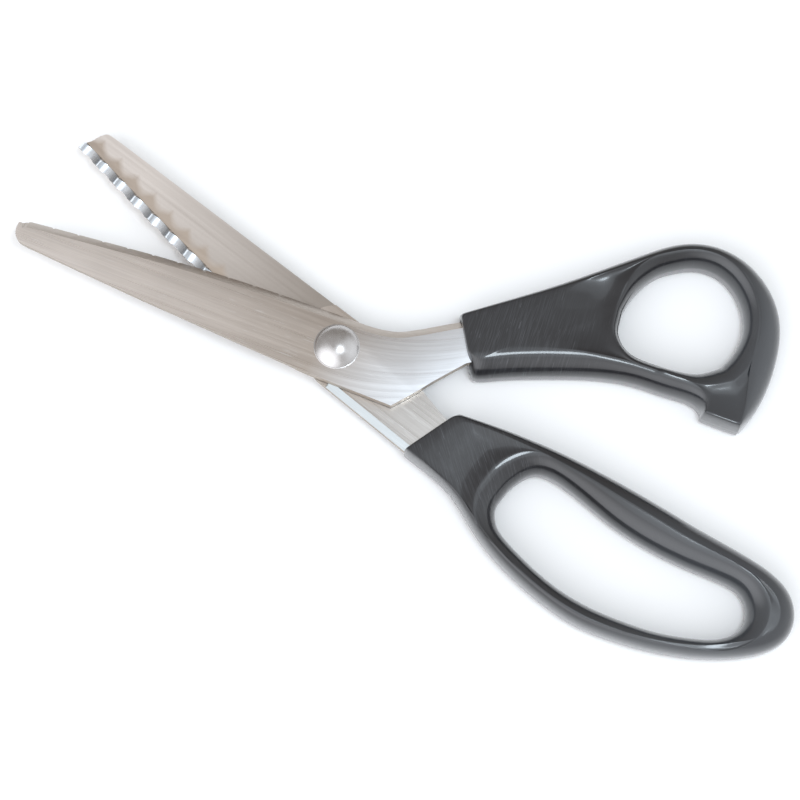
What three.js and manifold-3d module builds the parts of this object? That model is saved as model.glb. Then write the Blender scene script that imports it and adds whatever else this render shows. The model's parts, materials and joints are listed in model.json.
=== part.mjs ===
// Pinking shears: two blades with interlocking scalloped teeth, joined by a domed pivot bolt,
// each blade's tang moulded into a plastic handle with a finger loop.
//
// Units are millimetres and +Z is up. The shears lie flat on the plane z = 0. The origin is on
// the pivot axis, at the flat end of the bolt. +X runs along the lower half towards the tips.
// The upper half is drawn in the same frame as the lower one and then turned about Z by
// openAngle. The teeth are surfaces of revolution about the pivot axis, so that the two blades
// mesh with a constant clearance at every opening angle.

import * as THREE from 'three';
import { LoftGeometry } from 'three/addons/geometries/LoftGeometry.js';
import { mergeVertices } from 'three/addons/utils/BufferGeometryUtils.js';
import Module from 'manifold-3d';

const wasm = await Module();
wasm.setup();

// ---------------------------------------------------------------- driving dimensions

const openAngle = 16.7;             // degrees between the two halves' frames as modelled
const bladeThickness = 2.9;         // at the pivot and along the tang
const bladeGap = 0.4;               // between the two blades, filled by the thrust washer
const bladeLength = 95.2;           // pivot axis to the tip
const heelLength = 20;              // pivot axis to the pointed heel of the upper blade
const bevelWidth = 2.45;            // outer bevel behind the cutting edge, in plan
const chamferWidth = 2.2;           // chamfer along the lower tang, in plan
const chamferDrop = 0.9;

const toothPitch = 7.24;            // crest to crest, measured along the blade
const toothArcRadius = 5.1;         // scallop radius
const toothClearance = 0.2;         // between the meshing teeth
const toothBand = 2.5;              // width of the toothed band
const firstCrest = 51.4;            // radius of one crest from the pivot axis
const toothlessRadius = 20;         // no tooth starts nearer to the pivot axis than this
const hollowMargin = 0.25;          // the hollow faces lie this far below the valleys

const boltRadius = 3;
const boltHeadRadius = 6.4;
const boltHeadHeight = 3.1;
const boltRimHeight = 0.5;          // upright rim below the dome
const headChamfer = 0.15;
const shankChamfer = 0.3;
const keyHalfWidth = 2.3;           // half the width over the two flats of the keyed neck
const fitClearance = 0.15;          // radial clearance round the bolt
const seatClearance = 0.05;         // between stacked faces of the pivot
const nutHeight = 1.9;
const nutFlats = 10.5;
const nutChamfer = 0.35;
const springWasherRise = 0.5;       // overall height of the dished ring
const springWasherThickness = 0.3;
const flatWasherHeight = 0.4;
const washerRadius = 5.4;
const thrustWasherRadius = 7.5;
const bossRadius = 13;              // flat bearing area of each blade
const bearingMargin = 6;            // the bearing face ends this far short of the teeth

const handleHeight = 11.2;
const wallHeight = 4.6;             // height of the upright wall, below the rounded top
const footRadius = 1;               // small round along the underside
const tangClearance = 0.3;          // between a tang and the pocket moulded round it
const fingerTangLength = 14;        // tang inside the finger handle
const thumbTangLength = 16;         // tang inside the thumb handle
const fingerCollar = -36;           // middle of the finger handle's collar face
const fingerNeck = -66;             // start of the finger loop, behind the collar
const fingerBowStretch = 1;         // length of the finger loop against the drawn outline
const lugFace = -17.9;              // stop lug's end face, in the thumb handle's frame

// ---------------------------------------------------------------- levels derived from them

const nutTop = nutHeight;
const springWasherBottom = nutTop + seatClearance;
const flatWasherBottom = springWasherBottom + springWasherRise + seatClearance;
const lowerOuter = flatWasherBottom + flatWasherHeight + seatClearance;
const lowerInner = lowerOuter + bladeThickness;
const meshPlane = lowerInner + bladeGap / 2;
const upperInner = lowerInner + bladeGap;
const upperOuter = upperInner + bladeThickness;
const toothDepth = toothArcRadius - Math.sqrt(toothArcRadius ** 2 - (toothPitch / 2) ** 2);
const edgeRise = toothDepth / 2 + 0.2;    // blanks reach this far past the meshing plane
const hollowDepth = toothDepth / 2 + toothClearance / 2 + hollowMargin;
const toothedFrom = firstCrest
  - Math.floor((firstCrest - toothlessRadius) / toothPitch) * toothPitch;
const rootRadius = toothedFrom + 0.05;    // the flat root reaches just past the first crest
const bearingEnd = rootRadius - bearingMargin;
const clear = 200;                        // cutters reach this far, past the whole object

// ---------------------------------------------------------------- helpers

function toSolid(geometry) {
  const bare = new THREE.BufferGeometry();
  bare.setAttribute('position', geometry.attributes.position);
  bare.setIndex(geometry.index);
  const merged = mergeVertices(bare, 1e-4);
  const triangles = [];
  const index = merged.index.array;
  for (let i = 0; i < index.length; i += 3) {
    const [a, b, c] = [index[i], index[i + 1], index[i + 2]];
    if (a !== b && b !== c && c !== a) {
      triangles.push(a, b, c);
    }
  }
  return new wasm.Manifold(new wasm.Mesh({
    numProp: 3,
    vertProperties: Float32Array.from(merged.attributes.position.array),
    triVerts: Uint32Array.from(triangles),
  }));
}

function toGeometry(solid) {
  const mesh = solid.getMesh();
  const geometry = new THREE.BufferGeometry();
  geometry.setAttribute('position', new THREE.Float32BufferAttribute(mesh.vertProperties, 3));
  geometry.setIndex(Array.from(mesh.triVerts));
  const faceted = geometry.toNonIndexed();
  faceted.computeVertexNormals();
  return faceted;
}

const point = (x, y) => new THREE.Vector2(x, y);
const points = (list) => list.map(([x, y]) => point(x, y));
const smooth = (list, count) => new THREE.SplineCurve(points(list)).getPoints(count);
const at = (list, z) => list.map((p) => new THREE.Vector3(p.x, p.y, z));

// closed prism between outlines given from the bottom up, counterclockwise seen from above
function prism(...sections) {
  return toSolid(new LoftGeometry(sections, { capStart: true, capEnd: true }));
}

function plate(outline, bottom, top) {
  return prism(at(outline, bottom), at(outline, top));
}

function disc(radius, bottom, top, segments = 48) {
  const geometry = new THREE.CylinderGeometry(radius, radius, top - bottom, segments);
  geometry.rotateX(Math.PI / 2);
  geometry.translate(0, 0, (top + bottom) / 2);
  return toSolid(geometry);
}

function box(x0, x1, y0, y1, z0, z1) {
  const geometry = new THREE.BoxGeometry(x1 - x0, y1 - y0, z1 - z0);
  geometry.translate((x0 + x1) / 2, (y0 + y1) / 2, (z0 + z1) / 2);
  return toSolid(geometry);
}

// solid of revolution about the pivot axis, from a profile of [radius, z] pairs
function turned(profile, segments = 48) {
  const geometry = new THREE.LatheGeometry(profile.map(([r, z]) => point(r, z)), segments);
  geometry.rotateX(Math.PI / 2);
  return toSolid(geometry);
}

// moves a polyline to its left by a distance that may change along it
function shifted(line, distance) {
  return line.map((p, i) => {
    const before = line[Math.max(i - 1, 0)];
    const after = line[Math.min(i + 1, line.length - 1)];
    const along = after.clone().sub(before).normalize();
    const d = typeof distance === 'function' ? distance(p) : distance;
    return point(p.x - along.y * d, p.y + along.x * d);
  });
}

// closed counterclockwise outline moved outwards on every side, with mitred corners
function grown(outline, distance) {
  const count = outline.length;
  return outline.map((p, i) => {
    const a = p.clone().sub(outline[(i - 1 + count) % count]).normalize();
    const b = outline[(i + 1) % count].clone().sub(p).normalize();
    const miter = distance / Math.max(1 + a.dot(b), 0.3);
    return point(p.x + (a.y + b.y) * miter, p.y - (a.x + b.x) * miter);
  });
}

// bore with two flats, for the keyed neck of the bolt
function keyed(radius, halfWidth, bottom, top) {
  const flats = box(-radius, radius, -halfWidth, halfWidth, bottom, top);
  return disc(radius, bottom - 1, top + 1, 32).intersect(flats);
}

// ---------------------------------------------------------------- teeth

// height of the scalloped surface above the meshing plane: sharp crests, round valleys
function toothHeight(radius) {
  const phase = (radius - firstCrest) / toothPitch;
  const offset = (phase - Math.floor(phase) - 0.5) * toothPitch;
  const valley = toothArcRadius - Math.sqrt(toothArcRadius ** 2 - offset ** 2);
  return valley - toothDepth / 2;
}

// ring whose lower face is the scalloped surface at the given height, and whose top is flat
function scallopedRing(level, top) {
  const stepsPerTooth = 8;
  const step = toothPitch / stepsPerTooth;
  const profile = [[toothedFrom, top]];
  for (let radius = toothedFrom; radius < bladeLength + toothPitch; radius += step) {
    profile.push([radius, level + toothHeight(radius + 1e-6)]);
  }
  profile.push([profile[profile.length - 1][0], top], [toothedFrom, top]);
  return turned(top > level ? profile : profile.reverse(), 120);
}

// ---------------------------------------------------------------- blades

// cutting edge of each blade from the tip back to the pivot, in its own frame
const lowerEdge = smooth([
  [bladeLength, -1.8], [bladeLength - 19, 1.3], [bladeLength - 38, 4.2],
  [45, 5.9], [32, 8.1], [20, 9.8], [9, 10.3], [-2, 10.2],
], 22);
const upperEdge = smooth([
  [-31.5, -21], [-24.8, -16.9], [-19.5, -13.6], [-13.8, -10.7], [-7, -9.5], [2, -9.4],
  [14, -9.2], [26, -8.9], [40, -8.3], [50, -7.6],
  [bladeLength - 35, -6.8], [bladeLength - 15, -4.9], [bladeLength - 0.6, -3.5],
], 32);
const tangSlope = 0.035;            // the lower tang's straight side leans by this much
const lowerTangEnd = fingerCollar - fingerTangLength;

function lowerOutline(edge) {
  const tip = edge[0];
  return [
    ...edge,
    point(lowerTangEnd + 9, 10.2 - tangSlope * (lowerTangEnd + 9)),
    point(lowerTangEnd, 7),
    point(lowerTangEnd, -0.5),
    point(-33, -3.5),
    point(-20, -6.8),
    point(-8, -9.6),
    point(0, -10),
    point(bladeLength - 5.6, -10.4),
    point(bladeLength - 3.9, -10.3),
    point(bladeLength - 2.4, -8.6),
    point(bladeLength - 1.5, -5.2),
    point(tip.x, tip.y - 2.4),
  ];
}

function lowerBlade() {
  const crest = meshPlane + edgeRise;
  // the bevel runs out beside the pivot, where the edge turns into the tang's straight side
  const [bevelEnd, bevelStart] = [-2, 8];
  const fade = (x) => THREE.MathUtils.smoothstep(x, bevelEnd, bevelStart);
  const bevelled = shifted(lowerEdge, (p) => bevelWidth * fade(p.x));
  const blank = lowerOutline(lowerEdge);
  let body = prism(at(lowerOutline(bevelled), lowerOuter), at(blank, meshPlane - edgeRise),
    at(blank, crest));

  // flat bearing face round the pivot and along the tang
  body = body.subtract(box(-clear, bearingEnd, -clear, clear, lowerInner, clear));
  // hollow face between the toothed band and the spine, kept clear of the bearing face
  const front = lowerEdge.filter((p) => p.x > bearingEnd);
  const inner = shifted(front, toothBand);
  const hollow = [...inner, point(inner[inner.length - 1].x, -clear), point(clear, -clear),
    point(clear, inner[0].y)];
  const hollowCut = plate(hollow, meshPlane - hollowDepth, clear);
  body = body.subtract(hollowCut.subtract(disc(bossRadius, 0, clear)));
  body = body.subtract(box(bearingEnd - 1, clear, -clear, clear, lowerInner, clear)
    .intersect(disc(rootRadius, 0, clear, 120)));
  // scalloped teeth
  const ring = scallopedRing(meshPlane - toothClearance / 2, crest + 3);
  body = body.subtract(ring.intersect(box(0, clear, -clear, clear, 0, clear)));
  // chamfer along the straight side of the tang
  const [wedgeLength, wedgeWidth, wedgeHeight] = [60, 8, 4];
  const chamferStart = -4;
  const wedge = new THREE.BoxGeometry(wedgeLength, wedgeWidth, wedgeHeight);
  wedge.translate(0, 0, wedgeHeight / 2);
  wedge.rotateX(-Math.atan2(chamferDrop, chamferWidth));
  wedge.translate(chamferStart - wedgeLength / 2, 0, 0);
  wedge.rotateZ(-tangSlope);
  wedge.translate(0, 10.2 - chamferWidth, lowerInner);
  body = body.subtract(toSolid(wedge));
  return body.subtract(disc(boltRadius + fitClearance, 0, clear, 40));
}

const thumbDirection = THREE.MathUtils.degToRad(209);
const thumbTang = [Math.cos(thumbDirection), Math.sin(thumbDirection)];

function upperOutline(edge) {
  const tip = edge[edge.length - 1];
  const [cx, cy] = thumbTang;
  return [
    ...edge,
    ...smooth([1.3, 1.6, 1, -0.4].map((reach, i) => [
      bladeLength + reach, THREE.MathUtils.lerp(tip.y, 3.4, 0.22 + 0.26 * i)]), 6),
    point(bladeLength - 4, 4.1),
    point(60, 6.5),
    point(30, 8.4),
    point(4, 9.9),
    point(-heelLength, 10.3),
    ...smooth([[-heelLength - 2.5, 7.3], [-25.5, 3.6], [-28.2, 0], [-31.7, -4.3],
      [-35.2, -8.5]], 8),
    point(-35.2 + cx * thumbTangLength, -9.6 + cy * thumbTangLength),
    point(-30.5 + cx * thumbTangLength, -18.2 + cy * thumbTangLength),
  ];
}

function upperBlade() {
  const crest = meshPlane - edgeRise;
  const bevelled = shifted(upperEdge, bevelWidth);
  const blank = upperOutline(upperEdge);
  let body = prism(at(blank, crest), at(blank, meshPlane + edgeRise),
    at(upperOutline(bevelled), upperOuter));

  body = body.subtract(box(-clear, bearingEnd, -clear, clear, -clear, upperInner));
  const front = upperEdge.filter((p) => p.x > bearingEnd);
  const inner = shifted(front, toothBand);
  const hollow = [...inner, point(clear, inner[inner.length - 1].y), point(clear, clear),
    point(inner[0].x, clear)];
  const hollowCut = plate(hollow, -clear, meshPlane + hollowDepth);
  body = body.subtract(hollowCut.subtract(disc(bossRadius, -clear, clear)));
  body = body.subtract(box(bearingEnd - 1, clear, -clear, clear, -clear, upperInner)
    .intersect(disc(rootRadius, -clear, clear, 120)));
  const ring = scallopedRing(meshPlane + toothClearance / 2, crest - 3);
  body = body.subtract(ring.intersect(box(0, clear, -clear, clear, 0, clear)));
  return body.subtract(keyed(boltRadius + fitClearance, keyHalfWidth + fitClearance, 0, clear));
}

// ---------------------------------------------------------------- handles

// Each station of a handle gives a point on the outer wall, the matching point on the finger
// hole, and the widths of the rounded top beside the outer wall and beside the hole.
// The stations run from one corner of the collar round the loop to the other corner.

const fingerStations = [
  // outer x, outer y, hole x, hole y, outer round, hole round
  [-32.4, 12.0, -61.7, 7.5, 0.7, 6.4],
  [-36.5, 12.0, -62.2, 9.0, 0.7, 6.2],
  [-41.5, 12.1, -63.1, 10.4, 0.8, 6.0],
  [-49.0, 12.9, -64.5, 11.8, 1.0, 5.6],
  [-55.5, 15.2, -66.5, 13.1, 1.4, 4.8],
  [-62.0, 17.8, -70.2, 14.2, 1.7, 3.9],
  [-70.0, 20.0, -75.6, 15.1, 1.8, 3.6],
  [-79.5, 21.3, -82.5, 15.9, 1.8, 3.5],
  [-89.5, 21.7, -90.5, 16.0, 1.9, 3.5],
  [-99.5, 20.9, -99.3, 14.8, 2.0, 3.6],
  [-111.0, 17.4, -108.5, 12.3, 2.2, 3.4],
  [-120.5, 13.4, -117.0, 9.3, 2.4, 3.2],
  [-129.5, 8.4, -124.5, 5.3, 2.8, 3.3],
  [-137.6, 2.2, -130.6, 1.2, 3.6, 4.0],
  [-143.6, -4.4, -133.9, -3.4, 4.2, 4.6],
  [-146.0, -10.8, -134.3, -7.5, 4.6, 5.2],
  [-144.2, -17.2, -132.3, -11.1, 4.8, 5.8],
  [-138.8, -21.7, -129.2, -13.0, 4.8, 5.2],
  [-130.8, -23.0, -125.7, -13.3, 4.4, 5.0],
  [-120.5, -22.1, -119.5, -11.9, 4.4, 5.6],
  [-109.5, -20.6, -110.0, -9.4, 4.6, 6.2],
  [-98.5, -19.5, -99.5, -7.7, 4.6, 6.9],
  [-87.5, -18.2, -89.5, -7.1, 4.4, 6.4],
  [-77.0, -16.6, -79.5, -7.6, 3.8, 5.0],
  [-67.5, -14.8, -71.0, -7.6, 3.4, 3.7],
  [-59.5, -12.8, -66.0, -6.4, 3.0, 4.8],
  [-52.0, -10.7, -63.6, -3.9, 2.6, 6.0],
  [-45.0, -8.4, -62.4, -0.9, 2.2, 6.6],
  [-38.0, -6.0, -61.8, 1.7, 2.0, 6.7],
];

const thumbStations = [
  [-37.8, -5.4, -70.9, -36.5, 5.6, 2.2],
  [-43.5, -8.2, -71.1, -34.5, 6.4, 2.2],
  [-49.3, -10.9, -71.6, -32.5, 6.6, 2.2],
  [-56.3, -13.7, -72.9, -30.5, 6.6, 2.0],
  [-64.3, -16.7, -75.0, -28.7, 6.2, 2.0],
  [-72.4, -19.2, -78.2, -27.7, 5.2, 2.6],
  [-80.4, -20.7, -82.5, -27.5, 4.3, 2.4],
  [-88.5, -20.9, -88.0, -27.8, 4.2, 2.4],
  [-95.0, -21.4, -92.5, -28.5, 4.0, 3.2],
  [-98.6, -20.9, -95.3, -29.3, 3.0, 4.0],
  [-100.6, -19.3, -97.0, -30.2, 1.0, 4.6],
  [-100.8, lugFace, -98.6, -31.3, 0.8, 5.0],
  [-112.0, lugFace, -101.4, -33.6, 0.8, 5.6],
  [-113.6, -21.4, -102.7, -36.3, 2.4, 5.8],
  [-115.1, -27.2, -103.6, -39.6, 5.0, 5.0],
  [-115.7, -34.2, -104.0, -43.4, 7.0, 4.6],
  [-115.4, -41.2, -103.6, -46.9, 7.4, 4.2],
  [-113.9, -49.2, -102.0, -51.0, 7.2, 4.2],
  [-110.2, -56.4, -99.4, -54.5, 6.6, 4.2],
  [-104.2, -62.0, -96.1, -57.2, 5.4, 4.0],
  [-97.0, -65.4, -92.6, -58.8, 4.2, 4.0],
  [-89.0, -66.3, -88.8, -59.3, 3.4, 3.6],
  [-81.5, -64.5, -84.5, -58.4, 3.0, 3.6],
  [-75.2, -60.8, -80.5, -56.2, 2.8, 3.8],
  [-68.8, -55.2, -76.5, -53.2, 2.4, 4.2],
  [-60.5, -47.8, -73.6, -49.0, 2.2, 4.0],
  [-51.5, -39.9, -71.8, -44.8, 2.0, 3.0],
  [-43.0, -33.0, -71.1, -41.6, 1.8, 2.4],
  [-35.5, -27.1, -70.8, -39.8, 1.6, 2.2],
  [-28.2, -21.3, -70.7, -38.6, 1.4, 2.2],
];

const panelShares = [0.1, 0.3, 0.55, 0.8, 0.93];
const arcSteps = 6;
const collarSteps = 5;

// heights of the top between the two rounded borders, from the outer wall to the hole
function panelHeight(share, width, depth) {
  const sunk = Math.min(1, Math.max(0, (width - 6) / 6)) * depth;
  return handleHeight - sunk * Math.sin(Math.PI * Math.min(1, share * 1.02)) ** 0.5;
}

function handleBody(stations, sharp, frontSteps, panelDepth) {
  const outer = [];
  const hole = [];
  const rounds = [];
  const corner = [];
  const count = stations.length;
  for (let i = 0; i < count - 1; i += 1) {
    const previous = stations[sharp.includes(i) ? i : Math.max(i - 1, 0)];
    const next = stations[sharp.includes(i + 1) ? i + 1 : Math.min(i + 2, count - 1)];
    const pick = (k) => [previous, stations[i], stations[i + 1], next].map((s) => point(s[k], s[k + 1]));
    const [outerCurve, holeCurve] = [0, 2].map((k) => new THREE.SplineCurve(pick(k)));
    const parts = sharp.includes(i) || sharp.includes(i + 1) ? 1 : 2;
    for (let j = 0; j < parts; j += 1) {
      const t = j / parts;
      outer.push(outerCurve.getPoint((1 + t) / 3));
      hole.push(holeCurve.getPoint((1 + t) / 3));
      rounds.push([4, 5].map((k) => THREE.MathUtils.lerp(stations[i][k], stations[i + 1][k], t)));
      corner.push(sharp.includes(i) && j === 0);
    }
  }
  // last collar corner, then the flat front face of the collar
  const last = stations[count - 1];
  const first = stations[0];
  outer.push(point(last[0], last[1]));
  hole.push(point(last[2], last[3]));
  rounds.push([last[4], last[5]]);
  corner.push(true);
  const holeFront = new THREE.SplineCurve([stations[count - 2], last, first, stations[1]]
    .map((s) => point(s[2], s[3])));
  const front = point(first[0] - last[0], first[1] - last[1]);
  const [from, to] = [last[4] / front.length(), 1 - first[4] / front.length()];
  for (let j = 0; j < frontSteps; j += 1) {
    const t = THREE.MathUtils.lerp(from, to, frontSteps > 1 ? j / (frontSteps - 1) : 0.5);
    outer.push(point(last[0] + front.x * t, last[1] + front.y * t));
    hole.push(holeFront.getPoint((1 + (j + 1) / (frontSteps + 1)) / 3));
    rounds.push([0, THREE.MathUtils.lerp(last[5], first[5], t)]);
    corner.push(false);
  }

  // directions in which each border is inset
  const total = outer.length;
  const inward = (line, i, side) => {
    const before = line[(i - 1 + total) % total];
    const after = line[(i + 1) % total];
    const a = line[i].clone().sub(before).normalize();
    const b = after.clone().sub(line[i]).normalize();
    const along = a.add(b).normalize();
    return point(-along.y * side, along.x * side);
  };
  const frontStart = total - frontSteps - 1;
  const frontUnit = front.clone().normalize();
  const sections = [];
  for (let i = 0; i < total; i += 1) {
    let out = inward(outer, i, 1);
    if (i === 0) {
      out = frontUnit.clone().negate();
    } else if (i === frontStart) {
      out = frontUnit.clone();
    } else if (i > frontStart) {
      out = point(0, 0);
    } else if (corner[i]) {
      const a = outer[i].clone().sub(outer[i - 1]).normalize();
      const b = outer[i + 1].clone().sub(outer[i]).normalize();
      out = point(-a.y - b.y, a.x + b.x).divideScalar(1 + a.dot(b));
    }
    const into = inward(hole, i, -1);
    const [ro, rh] = rounds[i];
    const place = (origin, direction, distance, z) => new THREE.Vector3(
      origin.x + direction.x * distance, origin.y + direction.y * distance, z);
    const rise = handleHeight - wallHeight;
    const foot = i > frontStart ? 0 : footRadius;
    const section = [
      place(outer[i], out, foot, 0),
      place(outer[i], out, foot * 0.3, footRadius * 0.3),
      place(outer[i], out, 0, footRadius),
    ];
    for (let k = 0; k <= arcSteps; k += 1) {
      const a = (k / arcSteps) * Math.PI / 2;
      section.push(place(outer[i], out, ro * (1 - Math.cos(a)), wallHeight + rise * Math.sin(a)));
    }
    const ridgeOuter = place(outer[i], out, ro, handleHeight);
    const ridgeHole = place(hole[i], into, rh, handleHeight);
    const width = ridgeOuter.distanceTo(ridgeHole);
    for (const share of panelShares) {
      const p = ridgeOuter.clone().lerp(ridgeHole, share);
      section.push(p.setZ(panelHeight(share, width, panelDepth)));
    }
    for (let k = arcSteps - 1; k >= 0; k -= 1) {
      const a = (k / (arcSteps - 1)) * Math.PI / 2;
      section.push(place(hole[i], into, rh * (1 - Math.cos(a)), wallHeight + rise * Math.sin(a)));
    }
    section.push(
      place(hole[i], into, 0, footRadius),
      place(hole[i], into, footRadius * 0.3, footRadius * 0.3),
      place(hole[i], into, footRadius, 0),
    );
    sections.push(section.reverse());
  }
  sections.push(sections[0].map((p) => p.clone()));
  return toSolid(new LoftGeometry(sections));
}

// room for a blade's tang inside its handle
function tangPocket(outline, bottom, top) {
  return plate(grown(outline, tangClearance), bottom - tangClearance, top + tangClearance);
}

// the finger loop made longer or shorter behind its neck
function stretched(stations) {
  const pull = (x) => Math.max(x, fingerNeck) + Math.min(x - fingerNeck, 0) * fingerBowStretch;
  return stations.map(([ox, oy, hx, hy, ro, rh]) => [pull(ox), oy, pull(hx), hy, ro, rh]);
}

function fingerHandle() {
  const body = handleBody(stretched(fingerStations), [0], collarSteps, 0.8);
  return body.subtract(tangPocket(lowerOutline(lowerEdge), lowerOuter, lowerInner));
}

function thumbHandle() {
  const body = handleBody(thumbStations, [0, 11, 12], collarSteps, 1);
  return body.subtract(tangPocket(upperOutline(upperEdge), upperInner, upperOuter));
}

// ---------------------------------------------------------------- pivot

function pivotBolt() {
  const headBottom = upperOuter + seatClearance;
  const bulge = boltHeadHeight - boltRimHeight;
  const sphere = (boltHeadRadius ** 2 + bulge ** 2) / (2 * bulge);
  const profile = [[0, headBottom + boltHeadHeight]];
  const domeSteps = 9;
  for (let k = 1; k <= domeSteps; k += 1) {
    const r = boltHeadRadius * Math.sin((k / domeSteps) * Math.PI / 2);
    const drop = sphere - Math.sqrt(sphere ** 2 - r ** 2);
    profile.push([r, headBottom + boltHeadHeight - drop]);
  }
  profile.push([boltHeadRadius, headBottom + headChamfer],
    [boltHeadRadius - headChamfer, headBottom], [boltRadius, headBottom],
    [boltRadius, shankChamfer], [boltRadius - shankChamfer, 0], [0, 0]);
  const blank = turned(profile.reverse(), 48);
  const neckBottom = upperInner - seatClearance;
  const ring = disc(boltRadius + 1, neckBottom, headBottom, 32);
  const key = box(-clear, clear, -keyHalfWidth, keyHalfWidth, 0, clear);
  return blank.subtract(ring.subtract(key));
}

function pivotNut() {
  const corner = nutFlats / Math.sqrt(3);
  const hexagon = new THREE.CylinderGeometry(corner, corner, nutHeight, 6);
  hexagon.rotateX(Math.PI / 2);
  hexagon.translate(0, 0, nutHeight / 2);
  const rounding = turned([[0, 0], [nutFlats / 2, 0], [corner, nutChamfer],
    [corner + 1, nutHeight], [0, nutHeight]]);
  const bore = disc(boltRadius + fitClearance, -1, nutHeight + 1, 32);
  return toSolid(hexagon).intersect(rounding).subtract(bore);
}

function ring(outerRadius, innerRadius, bottom, height, dish = 0) {
  return turned([[innerRadius, bottom + dish], [outerRadius, bottom],
    [outerRadius, bottom + height], [innerRadius, bottom + height + dish],
    [innerRadius, bottom + dish]], 40);
}

// ---------------------------------------------------------------- scene

const steel = { color: 0xb9b3ad, metalness: 1, roughness: 0.32 };
const polished = { color: 0xc8c9cc, metalness: 1, roughness: 0.15 };
const plastic = { color: 0x26262a, metalness: 0, roughness: 0.28 };

function part(name, solid, look) {
  const mesh = new THREE.Mesh(toGeometry(solid), new THREE.MeshStandardMaterial(look));
  mesh.name = name;
  return mesh;
}

const shears = new THREE.Group();
const lowerHalf = new THREE.Group();
const upperHalf = new THREE.Group();
upperHalf.rotation.z = THREE.MathUtils.degToRad(openAngle);
shears.add(lowerHalf, upperHalf);

const washerBore = boltRadius + fitClearance;
lowerHalf.add(part('lower_blade', lowerBlade(), steel));
lowerHalf.add(part('finger_handle', fingerHandle(), plastic));
upperHalf.add(part('upper_blade', upperBlade(), steel));
upperHalf.add(part('thumb_handle', thumbHandle(), plastic));
upperHalf.add(part('pivot_bolt', pivotBolt(), polished));
upperHalf.add(part('pivot_nut', pivotNut(), polished));
upperHalf.add(part('spring_washer',
  ring(washerRadius, washerBore, springWasherBottom, springWasherThickness,
    springWasherRise - springWasherThickness), steel));
upperHalf.add(part('flat_washer',
  ring(washerRadius, washerBore, flatWasherBottom, flatWasherHeight), steel));
upperHalf.add(part('thrust_washer',
  ring(thrustWasherRadius, washerBore, lowerInner + seatClearance, bladeGap - 2 * seatClearance),
  steel));

export default shears;
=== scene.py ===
import json
import math

import bpy
from mathutils import Matrix, Vector

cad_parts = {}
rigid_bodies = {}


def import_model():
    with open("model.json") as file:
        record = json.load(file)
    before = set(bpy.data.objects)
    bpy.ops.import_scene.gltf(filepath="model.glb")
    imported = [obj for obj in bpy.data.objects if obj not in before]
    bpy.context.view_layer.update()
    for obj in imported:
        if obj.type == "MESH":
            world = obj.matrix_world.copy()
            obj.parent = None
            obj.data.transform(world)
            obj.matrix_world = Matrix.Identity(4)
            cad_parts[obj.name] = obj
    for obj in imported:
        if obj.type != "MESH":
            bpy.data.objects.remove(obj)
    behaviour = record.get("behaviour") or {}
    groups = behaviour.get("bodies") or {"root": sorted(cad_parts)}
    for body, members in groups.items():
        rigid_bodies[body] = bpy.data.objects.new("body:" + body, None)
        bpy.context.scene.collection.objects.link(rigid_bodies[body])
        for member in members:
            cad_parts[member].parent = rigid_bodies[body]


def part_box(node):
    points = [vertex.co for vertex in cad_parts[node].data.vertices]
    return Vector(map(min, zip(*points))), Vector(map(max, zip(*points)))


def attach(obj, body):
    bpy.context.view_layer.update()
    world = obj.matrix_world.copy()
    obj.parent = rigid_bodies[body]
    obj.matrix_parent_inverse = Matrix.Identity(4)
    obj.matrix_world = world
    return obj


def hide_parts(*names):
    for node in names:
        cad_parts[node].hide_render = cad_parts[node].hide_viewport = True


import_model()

bl_info = {
    "name": "Pinking Shears",
    "version": (1, 0, 0),
    "blender": (4, 5, 0),
    "location": "3D View > Sidebar > Shears",
    "description": "Builds a pair of pinking shears round its mechanical frame",
    "category": "Add Mesh",
}

MM = 0.001
LOWER, UPPER = "lower_half", "upper_half"
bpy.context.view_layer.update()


def low(node, axis=2):
    """Lowest coordinate of a frame node along one axis, in millimetres."""
    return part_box(node)[0][axis] / MM


def high(node, axis=2):
    """Highest coordinate of a frame node along one axis, in millimetres."""
    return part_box(node)[1][axis] / MM


# ---------- sizes and colours


def length(name, description, default):
    """A size in millimetres, shown as a plain number."""
    return bpy.props.FloatProperty(name=name, description=description, default=default, unit="NONE")


def colour(name, description, default):
    """A base colour, as linear red, green and blue."""
    return bpy.props.FloatVectorProperty(
        name=name, description=description, default=default, subtype="COLOR", size=3, min=0, max=1)


class BladeSizes(bpy.types.PropertyGroup):
    """Sizes of the two blades, in millimetres."""

    open_angle: bpy.props.FloatProperty(
        name="Open angle", description="Angle between the two halves at rest",
        default=math.radians(16.7), subtype="ANGLE")
    reach: length("Reach", "Pivot axis to the tip", 95.2)
    thickness: length("Thickness", "Thickness at the pivot and the tangs", 2.9)
    bevel: length("Bevel", "Width of the ground bevel behind the cutting edge", 2.45)
    land: length("Land", "Height of the bevel's upper border from the meshing plane", 0.42)
    pitch: length("Tooth pitch", "Crest to crest along the blade", 7.24)
    scallop: length("Scallop radius", "Radius of one scallop", 5.1)
    first_crest: length("First crest", "Distance of one crest from the pivot axis", 51.4)
    start: length("Tooth start", "Distance from the pivot axis where the teeth begin", 22.49)
    band: length("Tooth band", "Width of the toothed band at its crests", 1.95)
    band_slope: length("Band slope", "Widening of the band per millimetre of depth", 0.5)
    clearance: length("Tooth clearance", "Gap between the meshing teeth", 0.2)
    boss: length("Boss radius", "Flat bearing face round the pivot", 13)
    edge_round: length("Edge round", "Width of the broken edges", 0.07)


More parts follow.
